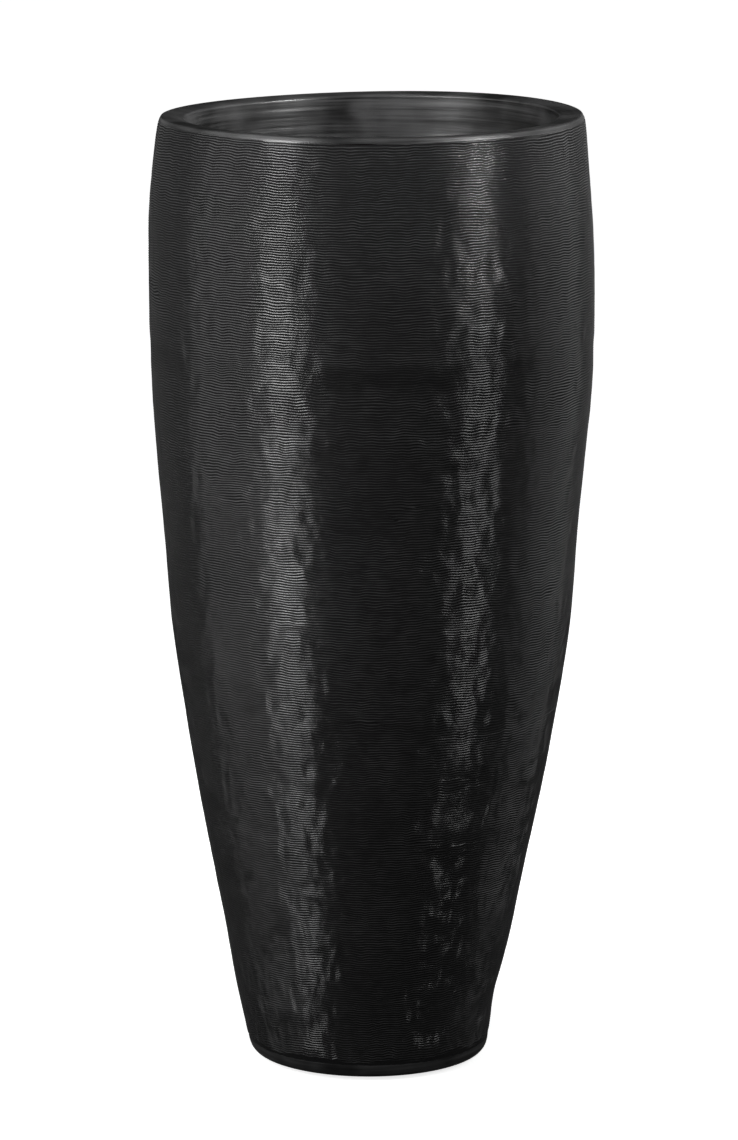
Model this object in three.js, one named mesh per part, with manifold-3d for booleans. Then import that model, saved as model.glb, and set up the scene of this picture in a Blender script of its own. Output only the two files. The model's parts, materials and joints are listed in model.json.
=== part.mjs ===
// Tall round fibreglass planter with a flared body, a rolled-in rim and the fittings that it holds inside.
// Millimetres, +Z up. The origin is the centre of the circle that the planter stands on, at ground level.

import * as THREE from 'three';
import { mergeVertices } from 'three/addons/utils/BufferGeometryUtils.js';
import Module from 'manifold-3d';

const wasm = await Module();
wasm.setup();

// ---------------------------------------------------------------- driving dimensions

// Shell, outside. Heights named Drop are measured down from the crest of the rim.
const planterHeight = 900;      // ground to the crest of the rim
const footRadius = 100.8;       // flat underside of the foot
const footEdgeHeight = 16;      // the rounded edge between the underside and the wall
const wallFootRadius = 114;     // wall radius at the top of that edge
const wallFootLean = 10.4;      // degrees that the wall leans out there
const wallFootReach = 141;      // how far up that lean holds
const bellyDrop = 140;
const bellyReachDown = 355;     // how far below the belly the wall stays nearly upright
const bellyReachUp = 44;
const crestRadius = 195;        // highest line of the rim
const bellySwell = 12.3;        // how far the widest part stands out past the crest
const rimShoulder = 6.1;        // the same where the rim starts to round over
const rimEdgeDrop = 32;
const rimEdgeLean = 5.7;        // degrees that the wall leans in there
const rimEdgeReach = 43;
const crestRise = 11.7;         // how sharply the rim rounds over: reach up along the wall
const crestReach = 3.2;         // and reach out from the crest

// Shell, inside
const wall = 5;                 // laminate thickness
const footFlangeWidth = 30;     // flat flange that the floor is bonded on

// Lip ring, bonded inside the shell's top edge and coated over with it
const lipWidth = 21;            // crest to the inner edge of the lip
const lipFall = 1.2;            // how much lower the inner edge lies than the crest
const lipThick = 5;
const lipEdgeRadius = 2.5;      // rounding of the inner edge
const returnDepth = 46;         // depth of the lip's turned-down return, below the crest
const returnWall = 4;

// Floor, fillet, plug and feet
const floorThick = 6;
const drainHoleRadius = 11;
const filletLeg = 9;            // resin fillet between floor and wall
const plugStemFit = 0.5;        // radial clearance of the plug's stem in the drain hole
const plugStemLength = 9;
const plugHeadRadius = 17;
const plugHeadThick = 4;
const plugNeckRadius = 5;
const plugKnobRadius = 9;
const plugGripHeight = 20;      // head to the top of the knob
const plugKnobThick = 7;
const padCount = 4;
const padRadius = 11;
const padThick = 2.5;           // the pads lift the shell this far off the ground
const padEdge = 0.6;            // chamfer round a pad's lower edge
const padInset = 16;            // pad centre, in from the foot's edge

// Shelf and the brackets that carry it
const shelfThick = 8;
const shelfPlay = 6;            // the shelf passes the lip with this much room all round
const fingerHoleRadius = 22;
const shelfDrainCount = 4;
const shelfDrainRadius = 8;
const shelfDrainCircle = 85;
const bracketCount = 3;
const bracketWidth = 56;
const bracketHeight = 46;
const bracketBearing = 18;      // how far the shelf lies over a bracket
const bracketNose = 8;          // height of a bracket's blunt inner edge

// Liner pot, the collar that clips on its edge, and the folding handles
const collarDrop = 75;          // top of the collar below the planter's rim
const linerHeight = 350;        // underside of the liner's floor to the top of the collar
const linerPlay = 8;            // the liner passes the lip with this much room all round
const linerWall = 3;
const linerFloorRadius = 125;
const linerCorner = 14;         // rounding at the foot of the liner
const linerEdgeWidth = 5;       // narrow flange round the liner's top edge
const collarWidth = 17;         // collar's outer edge to the outside of the liner's wall
const collarThick = 3;
const collarSkirt = 12;         // turned-down outer edge of the collar
const collarClip = 6;           // turned-down rib that holds the liner's edge
const collarClipWall = 2;
const linerFootHeight = 8;
const linerFootRadius = 13;
const linerFootCircle = 100;
const linerFootCount = 4;
const linerDrainCount = 4;
const linerDrainRadius = 6;
const linerDrainCircle = 55;
const handleBar = 7;            // diameter of a handle's bar
const handleInset = 4;          // bar's middle line, in from the collar's outer edge
const handleSwing = 0.8;        // room between a lug's outer corner and the bar that swings past it
const handlePinRadius = 2.5;
const handlePinFit = 0.3;       // radial clearance of a handle's pin in its lug
const hingeOffset = 16;         // each hinge line's distance from the liner's middle
const lugWidth = 12;
const lugLength = 9;
const lugCover = 2.5;           // material over the pin's bore

const seat = 0.3;               // gap between pieces that bear on each other or are bonded together

// Facets
const round = 48;               // sides of the large round pieces
const holeSides = 16;
const plugSides = 24;
const barSides = 8;
const handleSteps = 24;

// ---------------------------------------------------------------- places worked out from the sizes

const underside = padThick + seat;
const footEdgeTop = underside + footEdgeHeight;
const bellyHeight = planterHeight - bellyDrop;
const rimEdgeHeight = planterHeight - rimEdgeDrop;
const bellyRadius = crestRadius + bellySwell;
const rimEdgeRadius = crestRadius + rimShoulder;
const mouthRadius = crestRadius - lipWidth;
const lipUnder = planterHeight - lipThick - lipFall;

const floorBottom = underside + wall + seat;
const floorTop = floorBottom + floorThick;
const plugSeat = floorTop + seat;

const collarTop = planterHeight - collarDrop;
const collarUnder = collarTop - collarThick;
const collarRadius = mouthRadius - linerPlay;
const linerTopRadius = collarRadius - collarWidth;
const linerBottom = collarTop - linerHeight;
const shelfTop = linerBottom - linerFootHeight - seat;
const shelfBottom = shelfTop - shelfThick;
const shelfRadius = mouthRadius - shelfPlay;
const bracketTop = shelfBottom - seat;

const hingeHeight = collarTop + seat + handleBar / 2;
const handleRadius = collarRadius - handleInset;
const lugTop = hingeHeight + handlePinRadius + handlePinFit + lugCover;
const lugReach = Math.hypot(lugWidth / 2, lugTop - hingeHeight);
const barInner = handleRadius - handleBar / 2;
const lugOuter = Math.sqrt(barInner ** 2 - (hingeOffset + lugReach) ** 2) - handleSwing;
const lugInner = lugOuter - lugLength;

// ---------------------------------------------------------------- materials

const finish = (color, roughness, metalness = 0) =>
  new THREE.MeshStandardMaterial({ color, roughness, metalness });

const combedCoat = finish(0x242424, 0.42);
const rawLaminate = finish(0x6d6a58, 0.7);
const resin = finish(0x8a8468, 0.35);
const rubber = finish(0x151515, 0.85);
const shelfBoard = finish(0x3a3a3a, 0.6);
const linerPlastic = finish(0x1b1b1b, 0.5);
const handlePlastic = finish(0x262626, 0.45);

// ---------------------------------------------------------------- small helpers

const point = (radius, height) => new THREE.Vector2(radius, height);
const radians = THREE.MathUtils.degToRad;

// Turns a closed outline, or one that starts and ends on the axis, about the Z axis.
function turned(outline, sides = round) {
  return new THREE.LatheGeometry(outline, sides).rotateX(Math.PI / 2);
}

function welded(geometry) {
  const bare = geometry.clone();
  bare.deleteAttribute('normal');
  bare.deleteAttribute('uv');
  return mergeVertices(bare, 1e-4);
}

function solidOf(geometry) {
  const mesh = welded(geometry);
  return new wasm.Manifold(new wasm.Mesh({
    numProp: 3,
    vertProperties: Float32Array.from(mesh.attributes.position.array),
    triVerts: Uint32Array.from(mesh.index.array),
  }));
}

function geometryOf(solid) {
  const mesh = solid.getMesh();
  const geometry = new THREE.BufferGeometry();
  geometry.setAttribute('position', new THREE.BufferAttribute(mesh.vertProperties, mesh.numProp));
  geometry.setIndex(new THREE.BufferAttribute(mesh.triVerts, 1));
  geometry.computeVertexNormals();
  return geometry;
}

// A round bar along Z, from one height to another, set at (x, y).
function post(radius, from, to, x = 0, y = 0, sides = holeSides) {
  return new THREE.CylinderGeometry(radius, radius, to - from, sides)
    .rotateX(Math.PI / 2)
    .translate(x, y, (from + to) / 2);
}

// A round bar along Y, from one place to another, set at (x, z).
function pin(radius, from, to, x, z, sides = holeSides) {
  return new THREE.CylinderGeometry(radius, radius, to - from, sides)
    .translate(x, (from + to) / 2, z);
}

// Points evenly spaced round a circle about the Z axis.
function onCircle(count, radius, firstAngle = 0) {
  return Array.from({ length: count }, (_, i) => {
    const angle = firstAngle + (i * 2 * Math.PI) / count;
    return { angle, x: radius * Math.cos(angle), y: radius * Math.sin(angle) };
  });
}

function cubic(start, startHandle, endHandle, end) {
  return new THREE.CubicBezierCurve(start, startHandle, endHandle, end);
}

// ---------------------------------------------------------------- outer_shell

// The outside of the wall, from the edge of the foot up to the crest of the rim.
function outsideCurves() {
  const lean = radians(wallFootLean);
  const tuck = radians(rimEdgeLean);
  const foot = point(footRadius, underside);
  const wallFoot = point(wallFootRadius, footEdgeTop);
  const belly = point(bellyRadius, bellyHeight);
  const rimEdge = point(rimEdgeRadius, rimEdgeHeight);
  const crest = point(crestRadius, planterHeight);
  const along = (from, angle, reach) =>
    point(from.x + reach * Math.sin(angle), from.y + reach * Math.cos(angle));
  return {
    footEdge: cubic(
      foot,
      point(footRadius + (wallFootRadius - footRadius) * 0.6, underside),
      along(wallFoot, lean, -footEdgeHeight * 0.5),
      wallFoot,
    ),
    lower: cubic(
      wallFoot,
      along(wallFoot, lean, wallFootReach),
      point(bellyRadius, bellyHeight - bellyReachDown),
      belly,
    ),
    upper: cubic(
      belly,
      point(bellyRadius, bellyHeight + bellyReachUp),
      along(rimEdge, -tuck, -rimEdgeReach),
      rimEdge,
    ),
    rim: cubic(
      rimEdge,
      along(rimEdge, -tuck, crestRise),
      point(crestRadius + crestReach, planterHeight),
      crest,
    ),
  };
}

const outside = outsideCurves();

const outsideWall = [
  ...outside.footEdge.getPoints(4),
  ...outside.lower.getPoints(10).slice(1),
  ...outside.upper.getPoints(3).slice(1),
];

// Radius of the wall's outer face at a height, on the facets that the shell is made of.
function outsideRadiusAt(height) {
  const next = outsideWall.findIndex((p) => p.y >= height);
  if (next < 1) {
    return outsideWall.at(next).x;
  }
  const below = outsideWall[next - 1];
  const above = outsideWall[next];
  const share = (height - below.y) / (above.y - below.y);
  return below.x + share * (above.x - below.x);
}

const insideRadiusAt = (height) => outsideRadiusAt(height) - wall;

// The inside of the wall, from the flange up to the underside of the lip.
function insideWall() {
  const flangeTop = underside + wall;
  const rising = outsideWall.filter((p) => p.y > flangeTop + 1);
  return [
    point(insideRadiusAt(flangeTop), flangeTop),
    ...rising.map((p) => point(p.x - wall, p.y)),
    point(crestRadius - wall, lipUnder),
  ];
}

// A closed outline ends on the point that it started from.
const closed = (outline) => [...outline, outline[0].clone()];

function shellOutline() {
  const flangeInner = footRadius - footFlangeWidth;
  return closed([
    point(flangeInner, underside),
    ...outsideWall,
    ...outside.rim.getPoints(5).slice(1),
    point(crestRadius - wall, planterHeight),
    ...insideWall().reverse(),
    point(flangeInner, underside + wall),
  ]);
}

const outerShell = () => turned(shellOutline());

// The lip ring: flat on top with a slight fall inwards, then turned down inside the mouth.
function lipRing() {
  const outer = crestRadius - wall - seat;
  const lipEdge = planterHeight - lipFall;
  const returnEnd = planterHeight - returnDepth;
  const innerCorner = cubic(
    point(mouthRadius + lipEdgeRadius, lipEdge),
    point(mouthRadius + lipEdgeRadius * 0.4, lipEdge),
    point(mouthRadius, lipEdge - lipEdgeRadius * 0.6),
    point(mouthRadius, lipEdge - lipEdgeRadius),
  );
  return turned(closed([
    point(outer, lipUnder),
    point(outer, planterHeight - lipFall * 0.2),
    ...innerCorner.getPoints(2),
    point(mouthRadius, returnEnd),
    point(mouthRadius + returnWall, returnEnd),
    point(mouthRadius + returnWall, lipUnder),
  ]));
}

// The space inside the wall, drawn in by the bonding gap: what is bonded to the wall is cut to it.
function insideSpace() {
  const side = insideWall().map((p) => point(p.x - seat, p.y));
  const outline = [point(0, side[0].y), ...side, point(0, side.at(-1).y)];
  return solidOf(turned(outline));
}

// ---------------------------------------------------------------- floor, fillet, plug and feet

function floorDisc() {
  const edge = insideRadiusAt(floorBottom) - seat;
  return turned(closed([
    point(drainHoleRadius, floorBottom),
    point(edge, floorBottom),
    point(edge, floorTop),
    point(drainHoleRadius, floorTop),
  ]));
}

function floorFillet() {
  const bottom = floorTop + seat;
  const reach = insideRadiusAt(bottom + filletLeg);
  const band = turned(closed([
    point(insideRadiusAt(bottom) - filletLeg, bottom),
    point(reach, bottom),
    point(reach, bottom + filletLeg),
  ]));
  return geometryOf(solidOf(band).intersect(insideSpace()));
}

function drainPlug() {
  const stem = drainHoleRadius - plugStemFit;
  const headTop = plugSeat + plugHeadThick;
  const top = plugSeat + plugGripHeight;
  const knobUnder = top - plugKnobThick;
  const outline = [
    point(0, plugSeat - plugStemLength),
    point(stem - 1.5, plugSeat - plugStemLength),
    point(stem, plugSeat - plugStemLength + 2),
    point(stem, plugSeat),
    point(plugHeadRadius, plugSeat),
    point(plugHeadRadius, headTop - 1),
    point(plugHeadRadius - 2, headTop),
    point(plugNeckRadius, headTop + 1),
    point(plugNeckRadius, knobUnder),
    point(plugKnobRadius, knobUnder + plugKnobThick * 0.3),
    point(plugKnobRadius, top - plugKnobThick * 0.3),
    point(plugKnobRadius - 2, top),
    point(0, top),
  ];
  return turned(outline, plugSides);
}

function footPad({ x, y }) {
  const outline = [
    point(0, 0),
    point(padRadius - padEdge, 0),
    point(padRadius, padEdge),
    point(padRadius, padThick),
    point(0, padThick),
  ];
  return turned(outline, holeSides).translate(x, y, 0);
}

// ---------------------------------------------------------------- shelf and its brackets

// A tapered corbel, flat on top, with its back cut to the curve of the wall.
function shelfBracket(angle) {
  const nose = shelfRadius - bracketBearing;
  const back = outsideRadiusAt(bracketTop);
  const side = new THREE.Shape([
    point(nose, 0),
    point(back, 0),
    point(back, -bracketHeight),
    point(insideRadiusAt(bracketTop - bracketHeight) - bracketNose, -bracketHeight),
    point(nose, -bracketNose),
  ]);
  const block = new THREE.ExtrudeGeometry(side, { depth: bracketWidth, bevelEnabled: false })
    .rotateX(Math.PI / 2)
    .translate(0, bracketWidth / 2, bracketTop)
    .rotateZ(angle);
  return geometryOf(solidOf(block).intersect(insideSpace()));
}

function plantingShelf() {
  const cut = (radius, x, y) => solidOf(post(radius, shelfBottom - 1, shelfTop + 1, x, y));
  let plate = solidOf(post(shelfRadius, shelfBottom, shelfTop, 0, 0, round));
  plate = plate.subtract(cut(fingerHoleRadius, 0, 0));
  for (const { x, y } of onCircle(shelfDrainCount, shelfDrainCircle)) {
    plate = plate.subtract(cut(shelfDrainRadius, x, y));
  }
  return geometryOf(plate);
}

// ---------------------------------------------------------------- liner pot, its collar and handles

function linerShell() {
  const edgeTop = collarUnder - seat;
  const edgeUnder = edgeTop - linerWall;
  const corner = cubic(
    point(linerFloorRadius - linerCorner, linerBottom),
    point(linerFloorRadius - linerCorner * 0.45, linerBottom),
    point(linerFloorRadius, linerBottom + linerCorner * 0.45),
    point(linerFloorRadius, linerBottom + linerCorner),
  ).getPoints(4);
  const inner = corner.map((p) => point(p.x - linerWall, p.y + linerWall)).reverse();
  return turned([
    point(0, linerBottom),
    ...corner,
    point(linerTopRadius, edgeUnder),
    point(linerTopRadius + linerEdgeWidth, edgeUnder),
    point(linerTopRadius + linerEdgeWidth, edgeTop),
    point(linerTopRadius - linerWall, edgeTop),
    ...inner,
    point(0, linerBottom + linerWall),
  ]);
}

function linerPot() {
  const below = linerBottom - linerFootHeight;
  const within = linerBottom + linerWall / 2;
  let pot = solidOf(linerShell());
  for (const { x, y } of onCircle(linerFootCount, linerFootCircle, Math.PI / 4)) {
    pot = pot.add(solidOf(post(linerFootRadius, below, within, x, y)));
  }
  for (const { x, y } of onCircle(linerDrainCount, linerDrainCircle)) {
    pot = pot.subtract(solidOf(post(linerDrainRadius, below, linerBottom + 2 * linerWall, x, y)));
  }
  return geometryOf(pot);
}

// The collar lies on the liner's edge and carries the handles. It has a skirt outside and a clip rib inside.
function collarRing() {
  const clipInner = linerTopRadius + linerEdgeWidth + seat;
  const clipOuter = clipInner + collarClipWall;
  const skirtInner = collarRadius - linerWall;
  return turned(closed([
    point(linerTopRadius - linerWall, collarUnder),
    point(clipInner, collarUnder),
    point(clipInner, collarTop - collarClip),
    point(clipOuter, collarTop - collarClip),
    point(clipOuter, collarUnder),
    point(skirtInner, collarUnder),
    point(skirtInner, collarTop - collarSkirt),
    point(collarRadius, collarTop - collarSkirt),
    point(collarRadius, collarTop - 1),
    point(collarRadius - 1, collarTop),
    point(linerTopRadius - linerWall, collarTop),
  ]));
}

// The blocks on the collar that the handles' pins turn in: two at the front and two at the back.
function lugPlaces() {
  return [-1, 1].flatMap((side) => [-1, 1].map((end) => ({ side, end })));
}

function lug({ side, end }) {
  const sunk = collarThick / 2;
  const height = lugTop - collarTop + sunk;
  return new THREE.BoxGeometry(lugWidth, lugLength, height).translate(
    side * hingeOffset,
    end * (lugInner + lugLength / 2),
    lugTop - height / 2,
  );
}

function lugBore({ side, end }) {
  const from = end > 0 ? lugInner - 1 : -lugOuter - 1;
  const to = end > 0 ? lugOuter + 1 : -lugInner + 1;
  return pin(handlePinRadius + handlePinFit, from, to, side * hingeOffset, hingeHeight);
}

function linerCollar() {
  let collar = solidOf(collarRing());
  for (const place of lugPlaces()) {
    collar = collar.add(solidOf(lug(place)));
    collar = collar.subtract(solidOf(lugBore(place)));
  }
  return geometryOf(collar);
}

// The middle line of a handle's bar: an arc that follows the collar from one hinge pin to the other.
class HandleArc extends THREE.Curve {
  constructor(side) {
    super();
    this.side = side;
    this.halfSweep = Math.acos(hingeOffset / handleRadius);
  }

  getPoint(t, target = new THREE.Vector3()) {
    const angle = (2 * t - 1) * this.halfSweep;
    return target.set(
      this.side * handleRadius * Math.cos(angle),
      handleRadius * Math.sin(angle),
      hingeHeight,
    );
  }
}

// One bail: the bar, a round boss at each end and the pins that turn in the collar's lugs.
function linerHandle(side) {
  const section = new THREE.Shape().absarc(0, 0, handleBar / 2, 0, 2 * Math.PI);
  const bar = new THREE.ExtrudeGeometry(section, {
    steps: handleSteps,
    curveSegments: barSides / 2,
    extrudePath: new HandleArc(side),
  });
  const hinge = side * hingeOffset;
  const hingeEnd = Math.sqrt(handleRadius ** 2 - hingeOffset ** 2);
  const bossOuter = hingeEnd + handleBar / 2;
  const bossInner = lugOuter + seat;
  let handle = solidOf(bar);
  for (const end of [-1, 1]) {
    const span = (near, far) => (end > 0 ? [near, far] : [-far, -near]);
    const boss = pin(handleBar / 2, ...span(bossInner, bossOuter), hinge, hingeHeight);
    const shank = pin(handlePinRadius, ...span(lugInner, bossOuter - 1), hinge, hingeHeight);
    handle = handle.add(solidOf(boss)).add(solidOf(shank));
  }
  return geometryOf(handle);
}

// ---------------------------------------------------------------- the planter

const planter = new THREE.Group();

function place(name, geometry, material) {
  const mesh = new THREE.Mesh(welded(geometry), material);
  mesh.name = name;
  mesh.geometry.computeVertexNormals();
  planter.add(mesh);
}

place('outer_shell', outerShell(), combedCoat);
place('lip_ring', lipRing(), combedCoat);
place('floor_disc', floorDisc(), rawLaminate);
place('floor_fillet', floorFillet(), resin);
place('drain_plug', drainPlug(), rubber);
onCircle(padCount, footRadius - padInset, Math.PI / 4).forEach((spot, i) => {
  place(`foot_pad_${i + 1}`, footPad(spot), rubber);
});
onCircle(bracketCount, 1, Math.PI / 2).forEach(({ angle }, i) => {
  place(`shelf_bracket_${i + 1}`, shelfBracket(angle), rawLaminate);
});
place('planting_shelf', plantingShelf(), shelfBoard);
place('liner_pot', linerPot(), linerPlastic);
place('liner_collar', linerCollar(), linerPlastic);
place('liner_handle_left', linerHandle(-1), handlePlastic);
place('liner_handle_right', linerHandle(1), handlePlastic);

export default planter;
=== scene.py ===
"""A tall round planter of hand-combed fibreglass: its looks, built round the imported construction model."""

import json
import math

import bmesh
import bpy
import numpy as np
from bpy.props import FloatProperty, FloatVectorProperty, IntProperty, PointerProperty
from mathutils import Matrix, Vector


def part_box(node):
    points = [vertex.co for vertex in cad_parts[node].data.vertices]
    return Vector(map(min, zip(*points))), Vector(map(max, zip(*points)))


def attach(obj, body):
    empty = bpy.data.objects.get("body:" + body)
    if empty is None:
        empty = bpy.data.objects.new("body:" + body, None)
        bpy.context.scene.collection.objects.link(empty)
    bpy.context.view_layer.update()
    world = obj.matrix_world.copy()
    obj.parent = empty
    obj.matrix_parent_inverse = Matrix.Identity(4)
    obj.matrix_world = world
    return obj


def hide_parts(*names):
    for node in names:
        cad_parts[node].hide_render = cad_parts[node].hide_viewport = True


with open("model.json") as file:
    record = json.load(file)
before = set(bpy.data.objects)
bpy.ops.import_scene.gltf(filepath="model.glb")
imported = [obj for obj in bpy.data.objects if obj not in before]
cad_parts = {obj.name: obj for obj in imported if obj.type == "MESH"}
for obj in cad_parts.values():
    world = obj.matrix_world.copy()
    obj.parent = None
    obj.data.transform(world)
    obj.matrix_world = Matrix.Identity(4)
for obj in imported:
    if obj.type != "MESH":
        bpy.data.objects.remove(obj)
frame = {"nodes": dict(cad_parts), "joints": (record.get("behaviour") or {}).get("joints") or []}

bl_info = {
    "name": "Tall combed planter",
    "version": (1, 0, 0),
    "blender": (4, 5, 0),
    "location": "View3D > Sidebar > Planter",
    "description": "Builds a tall fibreglass planter with a combed coat, a shelf and a liner pot",
    "category": "Add Mesh",
}

MM = 0.001
FULL_TURN = 2 * math.pi
QUARTER_TURN = math.pi / 2


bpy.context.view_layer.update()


# ---------------------------------------------------------------- sizes and colours that a user would change


def length(name, description, default, low=0.0):
    return FloatProperty(name=name, description=description, default=default, min=low,
                         precision=5, unit="LENGTH", subtype="DISTANCE")


def colour(name, description, default):
    return FloatVectorProperty(name=name, description=description, default=default, size=3,
                               min=0.0, max=1.0, subtype="COLOR")


def watts(name, description, default):
    return FloatProperty(name=name, description=description, default=default, min=0.0, unit="POWER")


def angle(name, description, default_degrees):
    return FloatProperty(name=name, description=description, default=math.radians(default_degrees),
                         unit="ROTATION", subtype="ANGLE")


class PLANTER_PG_coat(bpy.types.PropertyGroup):
    """The combed coat on the outside of the shell"""

    pitch: length("Ridge pitch", "Distance from one combed ridge to the next", 2.4 * MM, 1 * MM)
    depth: length("Ridge depth", "Height of a ridge above the middle of the coat", 0.44 * MM)
    wander: length("Ridge wander", "How far the ridges stray up and down on their way round", 0.8 * MM)
    tremor: length("Hand tremor", "Short quick waves in the ridges", 0.45 * MM)
    lumps: length("Lumps", "Unevenness of the coat over a hand's breadth", 0.03 * MM)
    swell: length("Slow unevenness", "How far the wall is out of round", 0.7 * MM)
    thickness: length("Coat thickness", "Thickness of the pigmented coat over the laminate", 1.2 * MM)
    bare_rim: length("Smooth rim", "Uncombed width between the top ridge and the crest", 4.5 * MM)
    bands: IntProperty(name="Bands", description="Rings that the coat is built in", default=8, min=1)
    steps: IntProperty(name="Steps", description="Sides of the coat's rings", default=496, min=48)
    tint: colour("Coat colour", "Pigment of the coat", (0.0030, 0.0030, 0.0031))
    # The crest colour: rubbed wear on the coat, and on the comb's crests also a painted highlight.
    wear_and_sheen_tint: colour("Crest colour", "Pigment where the coat is rubbed", (0.050, 0.050, 0.0505))


class PLANTER_PG_fittings(bpy.types.PropertyGroup):
    """The pieces inside and under the shell"""

    laminate_tint: colour("Laminate", "Bare fibreglass laminate", (0.16, 0.145, 0.105))
    resin_tint: colour("Resin", "Cured resin of the floor's fillet", (0.22, 0.18, 0.10))
    rubber_tint: colour("Rubber", "Plug and foot pads", (0.016, 0.016, 0.016))
    board_tint: colour("Shelf board", "Moulded shelf board", (0.055, 0.055, 0.057))
    liner_tint: colour("Liner", "Plastic of the liner pot and its collar", (0.013, 0.013, 0.014))
    handle_tint: colour("Handles", "Plastic of the folding handles", (0.022, 0.022, 0.023))
    soft_edge: length("Edge rounding", "Rounding of the floor's edges", 0.8 * MM)


class PLANTER_PG_stage(bpy.types.PropertyGroup):
    """Floor, lights and camera"""

    floor_tint: colour("Floor colour", "Pale studio floor", (0.8, 0.8, 0.8))
    left_key: watts("Left light", "Tall light at the front left", 37.0)
    left_top: watts("Left spot", "Gridded light aimed over the rim from the front left", 2.7)
    left_fill: watts("Left fill", "Dimmer light beside it", 31.0)
    right_key: watts("Right light", "Narrow light at the front right", 31.0)
    right_top: watts("Right spot", "Gridded light aimed over the rim from the front right", 11.0)
    right_fill: watts("Right fill", "Wide light at the right", 15.0)
    edge_fill: watts("Edge fill", "Weak wide lights at both edges", 2.5)
    front_top: watts("High front light", "Weak light above the camera", 5.2)
    overhead: watts("Overhead light", "Wide light above", 6.0)
    camera_distance: length("Camera distance", "From the planter's axis", 5.010)
    camera_height: length("Camera height", "Above the floor", 1.464)
    camera_aside: length("Camera aside", "To the right of the planter's axis", -0.00185, -1.0)
    camera_tilt: angle("Camera tilt", "Downward tilt", 11.24)
    focal_length: FloatProperty(name="Focal length", description="Of the lens, in millimetres",
                                default=170.9, min=20.0, unit="CAMERA")


# ---------------------------------------------------------------- smooth curves and seeded unevenness


def smooth_curve(stations, values, end_slopes=None):
    """A curve through the values, as a function of the station, without corners."""
    stations = np.asarray(stations, float)
    values = np.asarray(values, float)
    spans = np.diff(stations)
    chords = np.diff(values) / spans
    slopes = np.empty_like(values)
    slopes[1:-1] = (chords[:-1] * spans[1:] + chords[1:] * spans[:-1]) / (spans[1:] + spans[:-1])
    slopes[0], slopes[-1] = end_slopes or (chords[0], chords[-1])

    def curve(station):
        station = np.clip(station, stations[0], stations[-1])
        i = np.clip(np.searchsorted(stations, station) - 1, 0, len(spans) - 1)
        t = (station - stations[i]) / spans[i]
        start = values[i] * (1 + 2 * t) + slopes[i] * spans[i] * t
        end = values[i + 1] * (3 - 2 * t) - slopes[i + 1] * spans[i] * (1 - t)
        return start * (1 - t) ** 2 + end * t ** 2

    return curve


def smooth_step(low, high, value):
    t = np.clip((value - low) / (high - low), 0, 1)
    return t * t * (3 - 2 * t)


class Drift:
    """Seeded unevenness over the unrolled wall, with a typical size of 1 and no seam on its way round."""

    EVENED = 0.479  # what the smoothing leaves of the typical size

    def __init__(self, seed, height, width, girth=1.25, reach=1.1):
        """Height and width are those of one lump, reach and girth those of the wall."""
        self.height = height
        self.columns = max(3, round(girth / width))
        rows = math.ceil(reach / height) + 4
        self.values = np.random.default_rng(seed).standard_normal((rows, self.columns)) / self.EVENED

    def __call__(self, station, turn):
        along = np.asarray(station) / self.height + 1
        around = np.asarray(turn) * self.columns
        row = np.floor(along).astype(int)
        column = np.floor(around).astype(int)
        total = 0
        for i, row_share in enumerate(self.shares(along - row)):
            for j, column_share in enumerate(self.shares(around - column)):
                nearby = self.values[(row + i - 1) % len(self.values), (column + j - 1) % self.columns]
                total = total + row_share * column_share * nearby
        return total

    @staticmethod
    def shares(t):
        """What each of four neighbours in a row adds, at a share t of the way between the middle two."""
        return (
            (1 - t) ** 3 / 6,
            (3 * t ** 3 - 6 * t ** 2 + 4) / 6,
            (-3 * t ** 3 + 3 * t ** 2 + 3 * t + 1) / 6,
            t ** 3 / 6,
        )


# ---------------------------------------------------------------- the wall, read from the construction


def mesh_points(mesh):
    points = np.empty(len(mesh.vertices) * 3, np.float32)
    mesh.vertices.foreach_get("co", points)
    return points.reshape(-1, 3).astype(float)


def place_points(mesh, points):
    mesh.vertices.foreach_set("co", points.astype(np.float32).ravel())


def node_points(node):
    return mesh_points(frame["nodes"][node].data)


def round_extent(node):
    """The inner and the outer radius of a round node, and the heights of its underside and top."""
    points = node_points(node)
    reach = np.hypot(points[:, 0], points[:, 1])
    low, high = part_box(node)
    return reach.min(), reach.max(), low.z, high.z


def section_points(node, keep):
    """(radius, height) of a turned node's rings, lowest first, on the faces whose normals pass the test."""
    points = node_points(node)
    rings = set()
    for face in frame["nodes"][node].data.polygons:
        aside = Vector((face.center.x, face.center.y, 0)).normalized()
        if keep(face.normal.dot(aside), face.normal.z):
            for x, y, z in points[list(face.vertices)]:
                rings.add((round(math.hypot(x, y), 5), round(z, 5)))
    return sorted(rings, key=lambda ring: (ring[1], -ring[0]))


class WallOutline:
    """The outside of the wall in section, from the inner edge of the flat foot up to the crest of the rim."""

    def __init__(self):
        rings = section_points("outer_shell", lambda out, up: out > 0.03)
        flange = min(section_points("outer_shell", lambda out, up: up < -0.99))
        points = np.array([flange] + rings)
        steps = np.hypot(*np.diff(points, axis=0).T)
        knots = np.concatenate([[0], np.cumsum(steps)])
        self.radius = smooth_curve(knots, points[:, 0], (1, -1))
        self.height = smooth_curve(knots, points[:, 1], (0, 0))
        self.foot_edge = knots[1]
        self.crest = knots[-1]
        self.crest_radius, self.crest_height = points[-1]
        self.underside = points[0, 1]

    def station_at(self, height):
        stations = np.linspace(self.foot_edge, self.crest, 4000)
        return float(np.interp(height, self.height(stations), stations))

    def tangent(self, station):
        nudge = 0.05 * MM
        run = self.radius(station + nudge) - self.radius(station - nudge)
        rise = self.height(station + nudge) - self.height(station - nudge)
        span = np.hypot(run, rise)
        return run / span, rise / span

    def inside(self, station, depth):
        """Radius and height of the points that lie this deep under the outside."""
        run, rise = self.tangent(station)
        return self.radius(station) - rise * depth, self.height(station) + run * depth


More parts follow.
